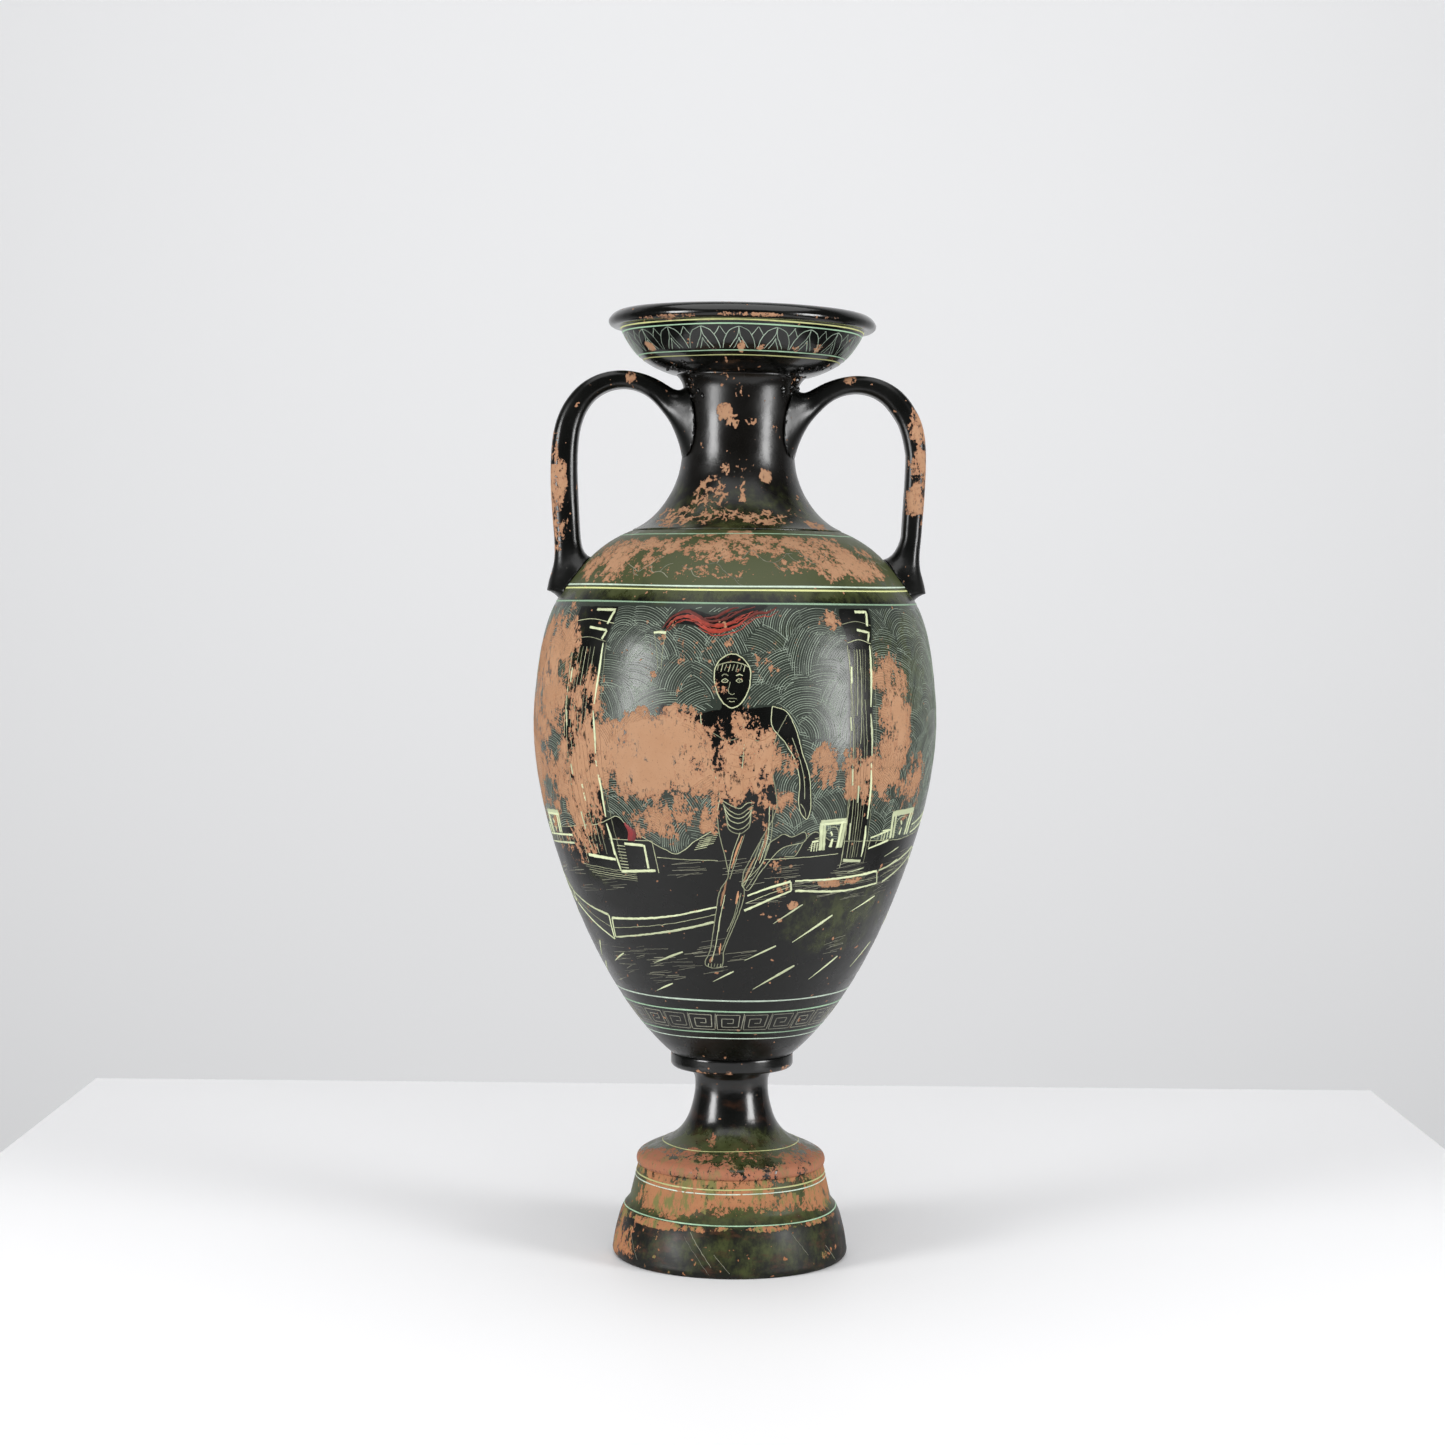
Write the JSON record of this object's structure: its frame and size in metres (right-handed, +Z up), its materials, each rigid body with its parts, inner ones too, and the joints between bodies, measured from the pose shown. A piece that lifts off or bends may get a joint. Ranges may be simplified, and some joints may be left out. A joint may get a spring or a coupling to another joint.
{
  "type": "amphora",
  "caption": "Footed neck amphora with an egg-shaped body, flared mouth, upright strap handles and a stepped foot, for display or for holding stems.",
  "frame": {"origin": "centre of the foot's resting face", "axes": "+Z up the vase's axis, X through the two handles, -Y towards the painted front"},
  "size_m": [0.2058, 0.2058, 0.4825],
  "materials": {
    "black_glaze": "glossy black slip, rubbed through to the clay on edges",
    "painted_body": "satin black and olive slip with incised and painted drawing, worn to bare clay in patches",
    "worn_plinth": "matt bare clay with remains of olive and black slip",
    "line_enamel": "pale enamel lines, slightly raised",
    "incised_line": "fine lines scratched through the slip",
    "red_enamel": "matt red touches"
  },
  "bodies": {
    "root": {"mouth": "black_glaze", "neck": "black_glaze", "body": "painted_body", "foot_collar": "black_glaze", "foot_stem": "black_glaze", "foot_plinth": "worn_plinth", "handle_left": "black_glaze", "handle_right": "black_glaze"}
  },
  "joints": []
}
